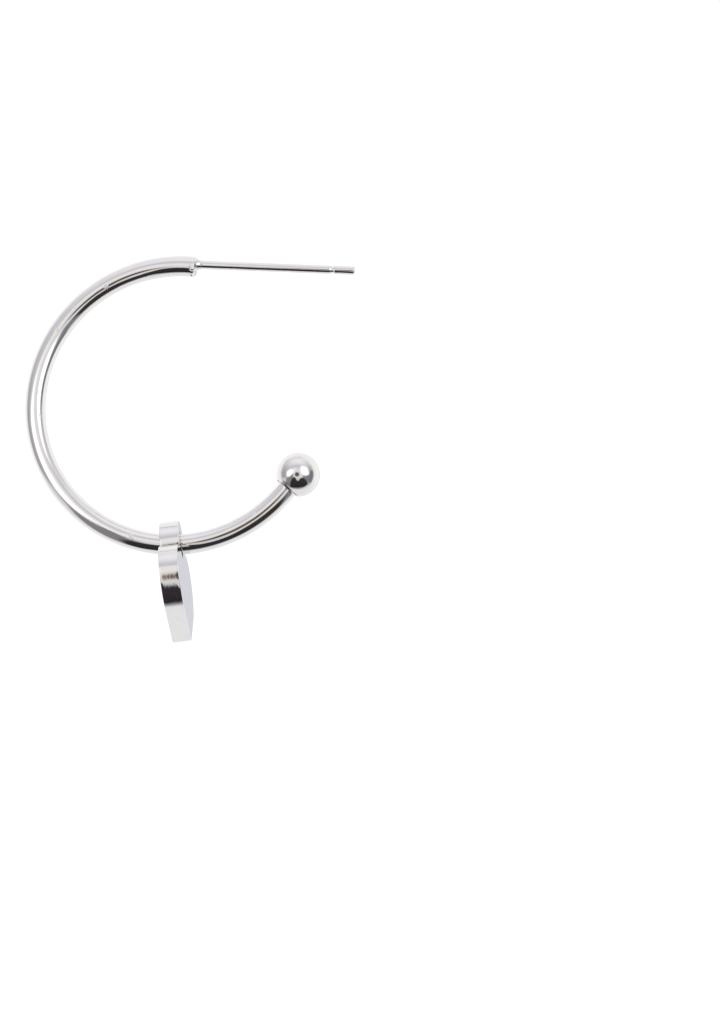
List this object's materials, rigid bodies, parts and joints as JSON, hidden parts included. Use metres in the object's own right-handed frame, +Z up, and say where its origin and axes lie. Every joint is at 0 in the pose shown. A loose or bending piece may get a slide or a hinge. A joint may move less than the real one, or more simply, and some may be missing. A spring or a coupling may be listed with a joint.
{
  "type": "hoop charm earring",
  "caption": "Open hoop earring of polished round wire with a straight ear post, an end ball and a thick heart charm that swings freely on the wire.",
  "frame": {"origin": "on the middle of the ear post, where the ear lobe sits, 3 mm from the end of the hoop's wire", "axes": "+Z up as worn, the hoop lies in the XZ plane, the post points along +X and dips 2.5 degrees, the charm hangs towards -Z"},
  "size_m": [0.0265, 0.0094, 0.0317],
  "materials": {
    "hoop_steel": "polished stainless steel",
    "ball_steel": "polished stainless steel",
    "charm_steel": "polished stainless steel with faint tumbling marks"
  },
  "bodies": {
    "earring": {"hoop": "hoop_steel", "end_ball": "ball_steel"},
    "charm": {"heart_charm": "charm_steel"}
  },
  "joints": [
    {"name": "charm_swing", "type": "hinge", "parent": "earring", "child": "charm", "pos_m": [-0.00433, 0, -0.02291], "axis": [1, 0, 0], "continuous": true}
  ]
}
